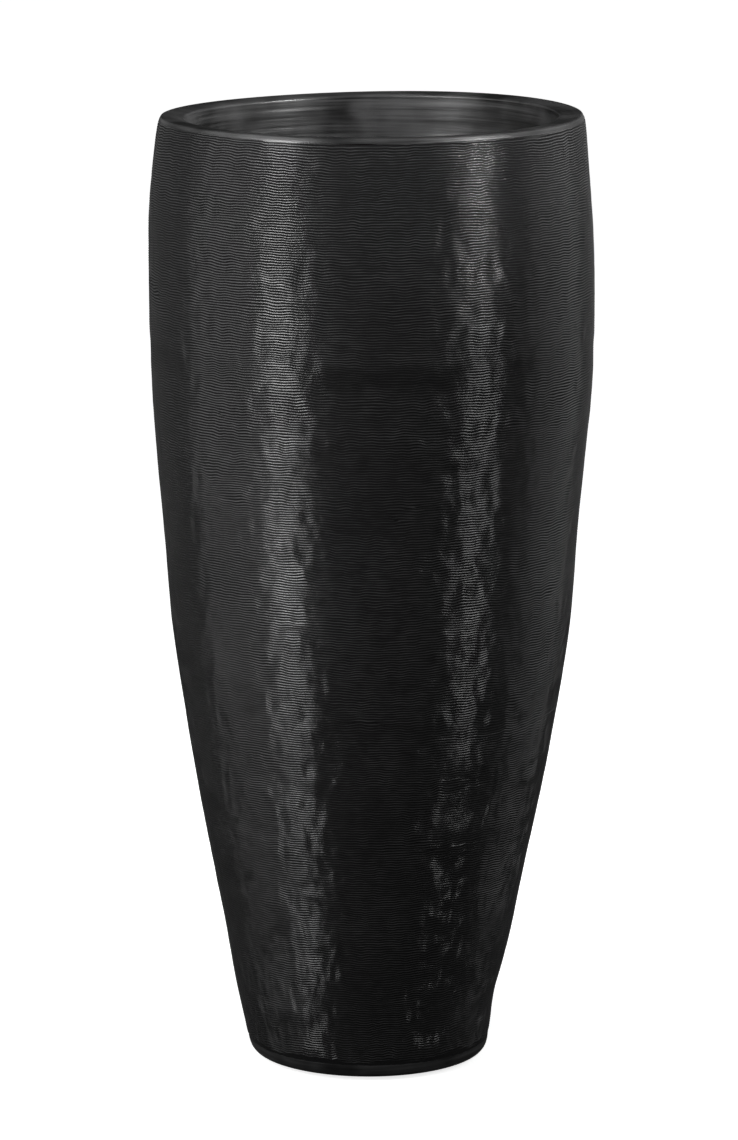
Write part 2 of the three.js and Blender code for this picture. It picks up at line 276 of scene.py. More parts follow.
outline = WallOutline()
FOOT_EDGE_TOP = 18.8 * MM
COMB_FROM = outline.station_at(FOOT_EDGE_TOP)
WALL = 5 * MM

# The planter is laid up by hand, so its wall wavers: millimetres out, and aside to +X, at heights in metres.
WALL_WAVER = (
    (0.0, 3.4), (0.006, 2.8), (0.016, 1.4), (0.03, 0.5), (0.10, 0.4), (0.18, -0.6), (0.26, 0.1), (0.34, 0.6),
    (0.42, 1.1), (0.50, -1.5), (0.58, -0.5), (0.63, 1.3), (0.66, 1.9), (0.74, 1.7), (0.80, 1.4), (0.86, 1.1),
    (0.90, 0.9),
)
WALL_SWAY = (
    (0.0, -2.0), (0.03, -3.1), (0.06, -4.1), (0.09, -2.9), (0.12, -1.8), (0.18, -1.7), (0.23, -1.3),
    (0.36, -0.4), (0.60, 0.6), (0.64, 1.5), (0.70, 1.6), (0.77, 1.1), (0.83, 0.3), (0.90, 1.6),
)
FOOT_TRUE_TO = 0.01      # the foot is true to here, and the wall as uneven as elsewhere from the next height
FOOT_TRUE_FROM = 0.08
HAND_SHARE = 0.04        # how uneven the wall is over a hand's breadth, against its slow unevenness
RIM_LIFT = 3.9 * MM      # the rim stands higher at its back right
RIM_LIFT_FROM = 0.55
RIM_LIFT_TO = 0.90
BELT_TOP = 0.700         # a shallow step round the wall, where two lifts of the coat meet
BELT_BOTTOM = 0.655
BELT_DEPTH = 0.35 * MM
BELT_EDGE = 0.014        # its upper edge is short, and its lower one runs out over the rest

wall_waver = smooth_curve(*zip(*WALL_WAVER))
wall_sway = smooth_curve(*zip(*WALL_SWAY))
slow_swell = Drift(11, 0.16, 0.30)
hand_swell = Drift(12, 0.060, 0.085)


def belt(height):
    below = smooth_step(BELT_BOTTOM, BELT_TOP - BELT_EDGE - 4 * MM, height)
    return below * (1 - smooth_step(BELT_TOP - BELT_EDGE, BELT_TOP, height))


def placed(radius, height, turn):
    """Points by their radius, their height and their share of a full turn."""
    around = turn * FULL_TURN
    axes = np.broadcast_arrays(radius * np.cos(around), radius * np.sin(around), height)
    return np.stack(axes, axis=-1)


def hand_laid(radius, height, turn, swell):
    """Where a point of the true wall lies on the hand-laid one."""
    around = turn * FULL_TURN
    uneven = swell * (slow_swell(height, turn) + HAND_SHARE * hand_swell(height, turn))
    uneven = uneven * smooth_step(FOOT_TRUE_TO, FOOT_TRUE_FROM, height)
    radius = radius + uneven + wall_waver(height) * MM - belt(height) * BELT_DEPTH
    to_back_right = np.cos(around) * ((1 + np.sin(around)) / 2) ** 2
    lift = RIM_LIFT * to_back_right * smooth_step(RIM_LIFT_FROM, RIM_LIFT_TO, height)
    points = placed(radius, height + lift, turn)
    points[..., 0] += wall_sway(height) * MM
    return points


# ---------------------------------------------------------------- making meshes

MERGE = 1e-6            # points nearer than this are one
BOOLEAN_ROUNDS = 192    # sides of the turned plastic and board pieces


def as_mesh(bm, name="work"):
    mesh = bpy.data.meshes.new(name)
    bm.to_mesh(mesh)
    bm.free()
    return mesh


def finished(name, source, body, replaced, maker):
    """Puts a mesh or bmesh in the scene as a piece, with its body, replaced nodes and finish."""
    mesh = as_mesh(source, name) if isinstance(source, bmesh.types.BMesh) else source
    piece = bpy.data.objects.new(name, mesh)
    bpy.context.scene.collection.objects.link(piece)
    mesh.polygons.foreach_set("use_smooth", np.full(len(mesh.polygons), True))
    mesh.materials.clear()
    mesh.materials.append(finish_of(maker))
    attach(piece, body)
    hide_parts(*replaced)


def turned(section, steps):
    """Spins a closed section, or one that starts and ends on the axis, about the Z axis."""
    bm = bmesh.new()
    verts = [bm.verts.new((radius, 0, height)) for radius, height in section]
    on_axis = section[0][0] < MERGE and section[-1][0] < MERGE
    ring = verts if on_axis else verts + verts[:1]
    edges = [bm.edges.new(pair) for pair in zip(ring, ring[1:])]
    bmesh.ops.spin(bm, geom=verts + edges, cent=(0, 0, 0), axis=(0, 0, 1), dvec=(0, 0, 0), angle=FULL_TURN,
                   space=Matrix.Identity(4), steps=steps, use_merge=True)
    if on_axis:
        poles = [vert for vert in bm.verts if math.hypot(vert.co.x, vert.co.y) < MERGE]
        bmesh.ops.remove_doubles(bm, verts=poles, dist=MERGE)
    bmesh.ops.recalc_face_normals(bm, faces=bm.faces)
    return bm


def rounded(corners, radius, count=3, closed=True):
    """A section with its corners rounded off by arcs."""
    nearly_straight = math.radians(86)   # half the angle at a corner that is left as it is
    points = [Vector(corner) for corner in corners]
    out = []
    for i, here in enumerate(points):
        before = points[i - 1] - here
        after = points[(i + 1) % len(points)] - here
        half_angle = before.angle(after) / 2
        if half_angle > nearly_straight or not closed and i in (0, len(points) - 1):
            out.append(tuple(here))
            continue
        cut = min(radius / math.tan(half_angle), 0.45 * before.length, 0.45 * after.length)
        start = here + before.normalized() * cut
        end = here + after.normalized() * cut
        for k in range(count + 1):
            t = k / count
            out.append(tuple(start * (1 - t) ** 2 + here * 2 * t * (1 - t) + end * t ** 2))
    return out


def ring_mesh(name, section, seen, steps, shape, sharp_rows=()):
    """A closed ring whose rows are placed by shape, a function of the turn, and which brings its own map.

    The map runs once round along U, and along V by length, mostly over the rows of the section that are seen.
    Where shape also tells how far the comb stands out, each vertex keeps it.
    """
    bm = bmesh.new()
    bmesh.ops.create_grid(bm, x_segments=steps, y_segments=len(section), size=1)
    mesh = as_mesh(bm, name)
    turn = np.arange(steps + 1) / steps
    shaped = shape(turn[None, :] % 1)
    grid, comb = shaped if isinstance(shaped, tuple) else (shaped, None)
    place_points(mesh, np.concatenate([grid, grid[:1]]))
    if comb is not None:
        comb = np.concatenate([comb, comb[:1]]).astype(np.float32)
        mesh.attributes.new("comb", "FLOAT", "POINT").data.foreach_set("value", comb.ravel())
    corner_vertex = np.empty(len(mesh.loops), np.int32)
    mesh.loops.foreach_get("vertex_index", corner_vertex)
    row, step = np.divmod(corner_vertex, steps + 1)
    uvs = np.stack([turn[step], length_shares(section, seen)[row]], axis=-1)
    mesh.uv_layers.new(name="OFBake").data.foreach_set("uv", uvs.astype(np.float32).ravel())
    crease(mesh, len(section), steps, sharp_rows)
    return welded(mesh)


def length_shares(section, seen):
    """V for each row of a closed section, where the hidden rows get only a little of the map."""
    hidden_weight, margin = 0.12, 0.004
    spans = np.hypot(*np.diff(np.array([*section, section[0]]), axis=0).T)
    weights = np.where(np.arange(len(spans)) < seen - 1, spans, spans * hidden_weight)
    gone = np.concatenate([[0], np.cumsum(weights)])
    return margin + (1 - 2 * margin) * gone / gone[-1]


def crease(mesh, rows, steps, sharp_rows):
    """Keeps the edges that run round at these rows sharp. The last row lies on the first."""
    ends = np.empty(len(mesh.edges) * 2, np.int32)
    mesh.edges.foreach_get("vertices", ends)
    ends = ends.reshape(-1, 2) // (steps + 1) % rows
    sharp = (ends[:, 0] == ends[:, 1]) & np.isin(ends[:, 0], sharp_rows)
    mesh.attributes.new("sharp_edge", "BOOLEAN", "EDGE").data.foreach_set("value", sharp)


def welded(mesh):
    """Closes a mesh along its seams and turns its faces outward."""
    bm = bmesh.new()
    bm.from_mesh(mesh)
    bmesh.ops.remove_doubles(bm, verts=bm.verts, dist=MERGE)
    bmesh.ops.recalc_face_normals(bm, faces=bm.faces)
    bm.to_mesh(mesh)
    bm.free()
    return mesh


def columns(section):
    """The radii and the heights of a section, as columns that the turns run across."""
    points = np.array(section)
    return points[:, :1], points[:, 1:]


def combined(mesh, tool, operation):
    """Joins a closed tool to a mesh or cuts it away, and gives the result as a mesh."""
    pair = [bpy.data.objects.new("work", part) for part in (mesh, as_mesh(tool, "tool"))]
    for part in pair:
        bpy.context.scene.collection.objects.link(part)
    body, cutter = pair
    change = body.modifiers.new("change", "BOOLEAN")
    change.operation = operation
    change.object = cutter
    change.solver = "EXACT"
    result = bpy.data.meshes.new_from_object(body.evaluated_get(bpy.context.evaluated_depsgraph_get()))
    for part in pair:
        bpy.data.objects.remove(part)
    return result


def moved(bm, to, turn=Matrix.Identity(3)):
    bmesh.ops.rotate(bm, verts=bm.verts, cent=(0, 0, 0), matrix=turn)
    bmesh.ops.translate(bm, verts=bm.verts, vec=to)
    return bm


def eased(bm, edges, width):
    """Rounds these edges off."""
    bmesh.ops.bevel(bm, geom=edges, offset=width, offset_type="OFFSET", affect="EDGES",
                    segments=4, profile=0.5, material=-1)


def post(radius, low, high, at=(0.0, 0.0), edge=0.0, sides=48):
    """A round bar along Z with its ends rounded."""
    corners = [(0, low), (radius, low), (radius, high), (0, high)]
    section = rounded(corners, edge, closed=False) if edge else corners
    return moved(turned(section, sides), (*at, 0))


def pin(radius, near, far, x, z, edge=0.0):
    """A round bar along Y, from one place to another."""
    bar = post(radius, min(near, far), max(near, far), edge=edge, sides=32)
    return moved(bar, (x, 0, z), Matrix.Rotation(-QUARTER_TURN, 3, "X"))


def four_places(circle, first=0.0):
    """(x, y) of four places spread evenly on a circle."""
    for i in range(4):
        around = first + i * QUARTER_TURN
        yield circle * math.cos(around), circle * math.sin(around)


# ---------------------------------------------------------------- finishes


class Field:
    """A number that varies over a surface. Arithmetic on it adds Math nodes to its shading."""

    def __init__(self, shading, socket):
        self.shading = shading
        self.socket = socket

    def math(self, operation, *values):
        return self.shading.add("ShaderNodeMath", {"operation": operation}, dict(enumerate(values)))

    def __add__(self, other):
        return self.math("ADD", self, other)

    def __sub__(self, other):
        return self.math("SUBTRACT", self, other)

    def __rsub__(self, other):
        return self.math("SUBTRACT", other, self)

    def __mul__(self, other):
        return self.math("MULTIPLY", self, other)

    __radd__ = __add__
    __rmul__ = __mul__

    def above(self, low, high):
        """0 below low, 1 over high, and smooth between."""
        settings = {"interpolation_type": "SMOOTHSTEP"}
        sockets = {"Value": self, "From Min": low, "From Max": high}
        return self.shading.add("ShaderNodeMapRange", settings, sockets)


class Shading:
    """A tree of shading nodes, which ends in one output."""

    def __init__(self, owner, output):
        owner.use_nodes = True
        self.owner = owner
        self.output = output
        self.tree = owner.node_tree
        self.tree.nodes.clear()

    def add(self, kind, settings=None, sockets=None, output=0):
        """Adds a node: its settings first, then the values or links of its sockets. Gives one output."""
        node = self.tree.nodes.new(kind)
        for name, value in (settings or {}).items():
            setattr(node, name, value)
        for name, value in (sockets or {}).items():
            if isinstance(value, Field):
                self.tree.links.new(value.socket, node.inputs[name])
            else:
                node.inputs[name].default_value = value
        return Field(self, node.outputs[output])

    def mixed(self, share, first, second):
        return self.add("ShaderNodeMixShader", {}, {0: share, 1: first, 2: second})

    def shown(self, shader):
        """Ends the tree with this shader, and gives what the tree belongs to."""
        output = self.tree.nodes.new(self.output)
        self.tree.links.new(shader.socket, output.inputs["Surface"])
        return self.owner


class Finish(Shading):
    """A material: the nodes that vary its colour, gloss and relief, and the shader that they feed."""

    def __init__(self, name):
        super().__init__(bpy.data.materials.new(name), "ShaderNodeOutputMaterial")
        self.place = self.add("ShaderNodeTexCoord", output="Object")

    def noise(self, scale, detail, turn=(0, 0, 0)):
        """Noise of so many lumps a metre. Three numbers stretch it, and turn then turns it."""
        place = self.place
        if isinstance(scale, tuple):
            stretch = {"Vector": place, "Scale": scale, "Rotation": turn}
            place = self.add("ShaderNodeMapping", {}, stretch)
            scale = 1.0
        sockets = {"Vector": place, "Scale": scale, "Detail": detail, "Roughness": 0.55}
        return self.add("ShaderNodeTexNoise", {}, sockets)

    def blend(self, share, first, second):
        """A colour between two: share is a Field, the colours are fields or (red, green, blue)."""
        shades = [shade if isinstance(shade, Field) else (*shade, 1) for shade in (first, second)]
        sockets = {0: share, 6: shades[0], 7: shades[1]}
        return self.add("ShaderNodeMix", {"data_type": "RGBA"}, sockets, output=2)

    def relief(self, height, depth):
        return self.add("ShaderNodeBump", {}, {"Height": height, "Distance": depth, "Strength": 1.0})

    def shader(self, colour, rough, others):
        sockets = {"Base Color": colour, "Roughness": rough, **others}
        return self.add("ShaderNodeBsdfPrincipled", {}, sockets)

    def surface(self, colour, rough, relief, others=None):
        return self.shown(self.shader(colour, rough, {"Normal": relief, **(others or {})}))


finishes = {}


def finish_of(maker):
    """Each finish is made once, from the colours in the scene, and then shared."""
    if maker.__name__ not in finishes:
        finishes[maker.__name__] = maker(bpy.context.scene)
    return finishes[maker.__name__]


def toned(tint, factor):
    return tuple(min(1.0, factor * c) for c in tint)


def combed_coat(scene):
    """A satin coat. The comb's crests are paler, partly from rubbed wear and partly as a painted highlight,
    and its grooves are dull, with their gloss turned down as painted shade.
    """
    tint, wear_and_sheen_tint = scene.planter_coat.tint, scene.planter_coat.wear_and_sheen_tint
    coat = Finish("combed_coat")
    streaks = coat.noise((70, 70, 900), 4)
    grain = coat.noise(1500, 2)
    patches = coat.noise((14, 14, 9), 2)
    smears = coat.noise((60, 60, 140), 3)
    weave = coat.noise((240, 240, 170), 2)
    comb = coat.add("ShaderNodeAttribute", {"attribute_name": "comb"}, output="Fac")
    # Paler crests: partly rubbed wear, broken into patches, and partly a painted highlight along every crest
    # of the comb.
    rubbed = (streaks * 0.6 + patches * 0.4).above(0.42, 0.62)
    wear_and_sheen = comb.above(-0.1, 1.0) * (0.55 + 0.45 * rubbed)
    relief = coat.relief(streaks * 0.3 + grain * 0.2 + weave * 0.5, 0.2 * MM)
    satin = coat.shader(coat.blend(wear_and_sheen, tint, wear_and_sheen_tint), 0.19 + 0.03 * patches + 0.05 * smears,
                        {"Normal": relief, "IOR": 1.5})
    # In the grooves the gloss is dull, which is real, and the specular is turned down as painted shade in the
    # comb's recesses.
    shaded_groove = coat.shader(coat.blend(smears * 0.1, tint, wear_and_sheen_tint), 0.62 + 0.2 * smears,
                         {"Normal": relief, "Specular IOR Level": 0.1})
    bottom = 1 - comb.above(-0.55, 0.25)
    return coat.shown(coat.mixed(bottom, satin, shaded_groove))


def brushed_coat(scene):
    """The same coat where only a brush has levelled it."""
    tint, wear_and_sheen_tint = scene.planter_coat.tint, scene.planter_coat.wear_and_sheen_tint
    coat = Finish("brushed_coat")
    brush = coat.noise((9, 9, 420), 5)
    fine = coat.noise(900, 3)
    cloud = coat.noise(22, 2)
    # Patches of rubbed wear only; this coat has no painted highlight.
    wear_and_sheen = (cloud * 0.5 + brush * 0.5).above(0.35, 0.7)
    relief = coat.relief(brush * 0.8 + fine * 0.2, 0.25 * MM)
    return coat.surface(coat.blend(wear_and_sheen, tint, wear_and_sheen_tint), 0.26 + 0.12 * cloud + 0.06 * fine, relief,
                        {"IOR": 1.5})


def chopped_laminate(scene):
    """Chopped glass strands lying every way in resin."""
    tint = scene.planter_fittings.laminate_tint
    laminate = Finish("chopped_laminate")
    layers = (
        ((30, 520, 520), (0.3, 0.2, 0.4)),
        ((520, 34, 520), (1.3, 0.5, 1.2)),
        ((480, 480, 28), (0.7, 1.1, 2.2)),
        ((36, 500, 460), (2.1, 0.3, 0.8)),
    )
    strands = None
    for scale, turn in layers:
        layer = laminate.noise(scale, 1, turn).above(0.52, 0.66)
        strands = layer if strands is None else strands.math("MAXIMUM", strands, layer)
    wet = laminate.noise(35, 3)
    ground = laminate.blend(wet, toned(tint, 0.55), tint)
    relief = laminate.relief(strands * 0.6 + wet * 0.4, 0.6 * MM)
    return laminate.surface(laminate.blend(strands * 0.6, ground, toned(tint, 1.7)),
                            0.42 + 0.25 * wet - 0.1 * strands, relief,
                            {"Coat Weight": wet.above(0.45, 0.6) * 0.4})


def cured_resin(scene):
    tint = scene.planter_fittings.resin_tint
    resin = Finish("cured_resin")
    runs = resin.noise(60, 3)
    specks = resin.noise(700, 1).above(0.62, 0.7)
    return resin.surface(resin.blend(runs, toned(tint, 0.5), tint), 0.16 + 0.2 * runs + 0.2 * specks,
                         resin.relief(runs, 1.2 * MM), {"Coat Weight": 0.3 + 0.4 * runs})


def moulded_rubber(scene):
    tint = scene.planter_fittings.rubber_tint
    rubber = Finish("moulded_rubber")
    grain = rubber.noise(2600, 2)
    dust = rubber.noise(110, 4).above(0.48, 0.72)
    return rubber.surface(rubber.blend(dust * 0.5, tint, toned(tint, 2.6)), 0.72 + 0.18 * dust,
                          rubber.relief(grain, 0.1 * MM))


def moulded_plastic(name, tint, grain_size, rough):
    """Black moulded plastic: an even grain, faint flow lines and a few scuffs."""
    plastic = Finish(name)
    grain = plastic.noise(1 / grain_size, 2)
    flow = plastic.noise((16, 16, 70), 3)
    scuffs = plastic.noise((300, 90, 40), 4, (0.4, 0.9, 0.2)).above(0.60, 0.70)
    marks = scuffs * 0.5 + flow * 0.25
    return plastic.surface(plastic.blend(marks, tint, toned(tint, 2.2)), rough + 0.12 * flow + 0.1 * scuffs,
                           plastic.relief(grain, 0.12 * MM))


def liner_plastic(scene):
    return moulded_plastic("liner_plastic", scene.planter_fittings.liner_tint, 0.45 * MM, 0.40)


def handle_plastic(scene):
    return moulded_plastic("handle_plastic", scene.planter_fittings.handle_tint, 0.30 * MM, 0.34)


def shelf_board(scene):
    """Pebbled moulded board with a little soil on it."""
    tint = scene.planter_fittings.board_tint
    earth = (0.05, 0.036, 0.024)
    board = Finish("shelf_board")
    pebbles = {"Vector": board.place, "Scale": 620}
    pebble = board.add("ShaderNodeTexVoronoi", {"feature": "SMOOTH_F1"}, pebbles)
    cloud = board.noise(18, 4)
    soil = board.noise(75, 5).above(0.55, 0.75)
    ground = board.blend(cloud.above(0.35, 0.7), tint, toned(tint, 1.6))
    return board.surface(board.blend(soil * 0.35, ground, earth), 0.55 + 0.2 * soil + 0.08 * cloud,
                         board.relief(pebble, 0.25 * MM))


def studio_floor(scene):
    """A pale floor that the camera sees as white, with the planter's shadow left on it, in a dark room."""
    tint = scene.planter_stage.floor_tint
    floor = Finish("studio_floor")
    to_camera = floor.add("ShaderNodeLightPath", output="Is Camera Ray")
    reach = floor.add("ShaderNodeVectorMath", {"operation": "LENGTH"}, {0: floor.place}, output="Value")
    cloud = floor.noise(3, 2)
    glow = floor.blend(reach.above(0.15, 0.9), (0.78, 0.78, 0.78), (1, 1, 1))
    dull = {"Specular IOR Level": 0.1}
    lit = floor.shader(floor.blend(cloud, tint, toned(tint, 1.03)), 0.8,
                       {"Emission Color": glow, "Emission Strength": 1.0, **dull})
    dim = floor.shader(floor.blend(cloud, (0.10, 0.10, 0.10), (0.12, 0.12, 0.12)), 0.8, dull)
    return floor.shown(floor.mixed(to_camera, dim, lit))


# ---------------------------------------------------------------- the shell

long_wander = Drift(21, 0.040, 0.060)
short_wander = Drift(22, 0.009, 0.0053)
stroke_ahead = Drift(23, 0.012, 0.032)
stroke_behind = Drift(24, 0.012, 0.032)
pressure = Drift(25, 0.014, 0.080)
quick_pressure = Drift(26, 0.006, 0.0065)
fine_lumps = Drift(27, 0.012, 0.035)
broad_lumps = Drift(28, 0.026, 0.070)
comb_end = Drift(29, 0.020, 0.030)
brush_marks = Drift(30, 0.0022, 0.160)
lip_marks = Drift(31, 0.005, 0.110)

AHEAD_SHARE = 0.40           # how unsteadily a ridge and one a quarter pitch behind it are drawn
BEHIND_SHARE = 0.45
RIDGE_EVENNESS = 0.93        # at 1 the ridges would all stand equally high
PRESSURE_SHARE = 0.04
QUICK_PRESSURE_SHARE = 0.10
BELT_RUB = 0.45              # what the belt takes off the ridges
FINE_LUMPS_SHARE = 0.6
COMB_END_STRAY = 1.5 * MM    # how unevenly the comb was set down at the foot and lifted at the rim
COMB_SET_DOWN = 3 * MM
COMB_LIFTED = 2.5 * MM
RIM_BAND = 4 * MM            # the rim's ring starts this far below the crest


def comb_lift(coat, station, turn):
    """How far the coat stands out of the true wall, how far it strays up it, and how high the comb is."""
    phase = station / coat.pitch * FULL_TURN
    ahead = 1 + AHEAD_SHARE * stroke_ahead(station, turn)
    behind = BEHIND_SHARE * stroke_behind(station, turn)
    ridges = (ahead * np.sin(phase) + behind * np.cos(phase)) / np.hypot(ahead, behind) ** RIDGE_EVENNESS
    uneven = PRESSURE_SHARE * pressure(station, turn) + QUICK_PRESSURE_SHARE * quick_pressure(station, turn)
    press = np.clip(1 + uneven, 0.2, 1.4) * (1 - BELT_RUB * belt(outline.height(station)))
    stray = COMB_END_STRAY * comb_end(station, turn)
    combed = smooth_step(0, COMB_SET_DOWN, station - COMB_FROM - stray)
    combed = combed * smooth_step(0, COMB_LIFTED, outline.crest - coat.bare_rim - station + stray)
    comb = combed * press * ridges
    within = smooth_step(COMB_FROM - 10 * MM, COMB_FROM + 6 * MM, station)
    within = within * smooth_step(0, 14 * MM, outline.crest - station)
    lumps = coat.lumps * (fine_lumps(station, turn) * FINE_LUMPS_SHARE + broad_lumps(station, turn))
    wander = coat.wander * long_wander(station, turn) + coat.tremor * short_wander(station, turn)
    return coat.depth * comb + within * lumps, within * wander, comb


def wall_rows(outer, inner, near, far):
    """Rows of a ring in the wall: up at the outer stations and a depth of near, back at the inner and far."""
    station = np.concatenate([outer, inner])
    depth = np.concatenate([np.full(len(outer), near), np.full(len(inner), far)])
    section = np.stack(outline.inside(station, depth), axis=-1)
    corners = [0, len(outer) - 1, len(outer), len(station) - 1]
    return station, depth, section, corners


def coat_ring(name, coat, outer, inner, maker):
    """One closed ring of the coat: combed at the outer stations, and plain at its back."""
    station, depth, section, corners = wall_rows(outer, inner, 0, coat.thickness)
    station, depth = station[:, None], depth[:, None]

    def shape(turn):
        lift, wander, comb = comb_lift(coat, station, turn)
        run, rise = outline.tangent(station)
        away = np.where(depth > 0, -depth, lift)
        radius = outline.radius(station) + run * wander + rise * away
        height = outline.height(station) + rise * wander - run * away
        return hand_laid(radius, height, turn, coat.swell), comb

    mesh = ring_mesh(name, section, len(outer), coat.steps, shape, corners)
    finished(name, mesh, "root", ["outer_shell"], maker)


def half_pitches(coat, station, rounding):
    return rounding(station / (coat.pitch / 2))


class PLANTER_OT_combed_coat(bpy.types.Operator):
    """Builds the combed coat on the outside of the wall, in rings from the foot to the rim"""

    bl_idname = "planter.combed_coat"
    bl_label = "Combed coat"

    def execute(self, context):
        coat = context.scene.planter_coat
        start = half_pitches(coat, COMB_FROM - 3 * MM, math.ceil)
        end = half_pitches(coat, outline.crest - RIM_BAND, math.floor)
        cuts = np.round(np.linspace(start, end, coat.bands + 1)).astype(int) * (coat.pitch / 2)
        for i, (first, last) in enumerate(zip(cuts[:-1], cuts[1:])):
            outer = np.linspace(first, last, round((last - first) / (coat.pitch / 4)) + 1)
            inner = np.linspace(last, first, round((last - first) / (12 * MM)) + 2)
            coat_ring(f"combed_coat_{i + 1}", coat, outer, inner, combed_coat)
        self.foot_coat(coat, cuts[0])
        return {"FINISHED"}

    def foot_coat(self, coat, last):
        """The smooth coat round the foot's edge and under it."""
        under = np.linspace(0, outline.foot_edge - 3 * MM, 8)
        side = np.arange(outline.foot_edge - 2 * MM, last, 1.2 * MM)
        coat_ring("foot_coat", coat, np.concatenate([under, side, [last]]), np.linspace(last, 0, 16),
                  brushed_coat)


class PLANTER_OT_rim_coat(bpy.types.Operator):
    """Builds the smooth lip with its turned-down return inside the mouth"""

    bl_idname = "planter.rim_coat"
    bl_label = "Lip and return"

    edge_round = 2.5 * MM
    return_wall = 4 * MM
    return_edge = 1.5 * MM
    lip_fall = 1.2 * MM       # how much lower the lip is at the mouth, on a curve of this steepness
    fall_steepness = 1.6
    lip_thickness = 6.2 * MM

    def execute(self, context):
        coat = context.scene.planter_coat
        first = half_pitches(coat, outline.crest - RIM_BAND, math.floor) * (coat.pitch / 2)
        section, station, kinds = self.section(coat, first)

        def shape(turn):
            return self.grid(coat, section, station, kinds, turn)

        mesh = ring_mesh("rim_coat", section, list(kinds).index("hidden"), coat.steps, shape,
                         [0, len(section) - 1])
        finished("rim_coat", mesh, "root", ["outer_shell", "lip_ring"], brushed_coat)
        return {"FINISHED"}

    def section(self, coat, first):
        """The ring in section, its stations on the wall, and the kind of surface at each of its points."""
        mouth, _, low, _ = round_extent("lip_ring")
        crest_radius, crest_height = outline.crest_radius, outline.crest_height
        quarter = np.linspace(0, QUARTER_TURN, 7)[1:]
        half = np.linspace(0, 2 * QUARTER_TURN, 7)[1:]
        outer = np.linspace(first, outline.crest, 8)
        inner = np.linspace(outline.crest - 3 * MM, first, 3)
        lip = np.linspace(crest_radius, mouth + self.edge_round, 16)[1:]
        gone = (crest_radius - lip) / (crest_radius - lip[-1])
        edge_from = crest_height - self.lip_fall - self.edge_round
        return_end = low + self.return_edge
        back = mouth + self.return_wall
        under = crest_height - self.lip_thickness
        parts = (
            ("wall", outline.radius(outer), outline.height(outer)),
            ("lip", lip, crest_height - self.lip_fall * gone ** self.fall_steepness),
            ("edge", mouth + self.edge_round * (1 - np.sin(quarter)),
             edge_from + self.edge_round * np.cos(quarter)),
            ("return", mouth, np.linspace(edge_from, return_end, 62)[1:]),
            ("edge", mouth + self.return_wall / 2 * (1 - np.cos(half)),
             return_end - self.return_edge * np.sin(half)),
            ("hidden", back, np.linspace(return_end, under - 1 * MM, 10)[1:]),
            ("hidden", [back + 1 * MM, crest_radius - 4 * MM], under),
            ("hidden", *outline.inside(inner, coat.thickness)),
        )
        rows = [np.stack(np.broadcast_arrays(radius, height), axis=-1) for _, radius, height in parts]
        kinds = np.repeat([kind for kind, _, _ in parts], [len(row) for row in rows])
        station = np.zeros(len(kinds))
        station[:len(outer)] = outer
        return np.concatenate(rows), station, kinds

    def grid(self, coat, section, station, kinds, turn):
        radius, height = columns(section)
        station, kinds = station[:, None], kinds[:, None]
        wall = kinds == "wall"
        lift, wander, comb = comb_lift(coat, station, turn)
        run, rise = (np.where(wall, part, 0) for part in outline.tangent(station))
        out = run * wander + rise * lift
        up = rise * wander - run * lift
        brushed = 0.06 * MM * brush_marks(height, turn) + 0.09 * MM * lip_marks(height, turn)
        out = out - (kinds == "return") * brushed
        up = up + np.isin(kinds, ["lip", "edge"]) * 0.12 * MM * lip_marks(radius * 2, turn)
        return hand_laid(radius + out, height + up, turn, coat.swell), comb * wall


class PLANTER_OT_laminate_wall(bpy.types.Operator):
    """Builds the bare laminate behind the coat, with its flange round the foot"""

    bl_idname = "planter.laminate_wall"
    bl_label = "Laminate wall"

    coat_gap = 0.1 * MM
    below_crest = 7 * MM
    roughness = 0.16 * MM

    def execute(self, context):
        coat = context.scene.planter_coat
        foot_edge = outline.foot_edge
        behind = coat.thickness + self.coat_gap
        top = outline.station_at(outline.crest_height - self.below_crest)
        inner_from = outline.station_at(outline.underside + WALL + 4 * MM)
        outer = np.concatenate([np.linspace(1 * MM, foot_edge, 4), np.linspace(foot_edge, top, 90)[1:]])
        flange = np.linspace(foot_edge - 4 * MM, 1 * MM, 4)
        inner = np.concatenate([np.linspace(top, inner_from, 230), flange])
        station, depth, section, corners = wall_rows(outer, inner, behind, WALL)
        station, depth = station[:, None], depth[:, None]
        rough = Drift(41, 0.009, 0.010)

        def shape(turn):
            lumps = np.where(depth > behind, self.roughness, 0.0) * rough(station, turn)
            return hand_laid(*outline.inside(station, depth + lumps), turn, coat.swell)

        mesh = ring_mesh("laminate_wall", section, len(section), 200, shape, corners)
        finished("laminate_wall", mesh, "root", ["outer_shell"], chopped_laminate)
        return {"FINISHED"}


# ---------------------------------------------------------------- floor, plug, pads and brackets


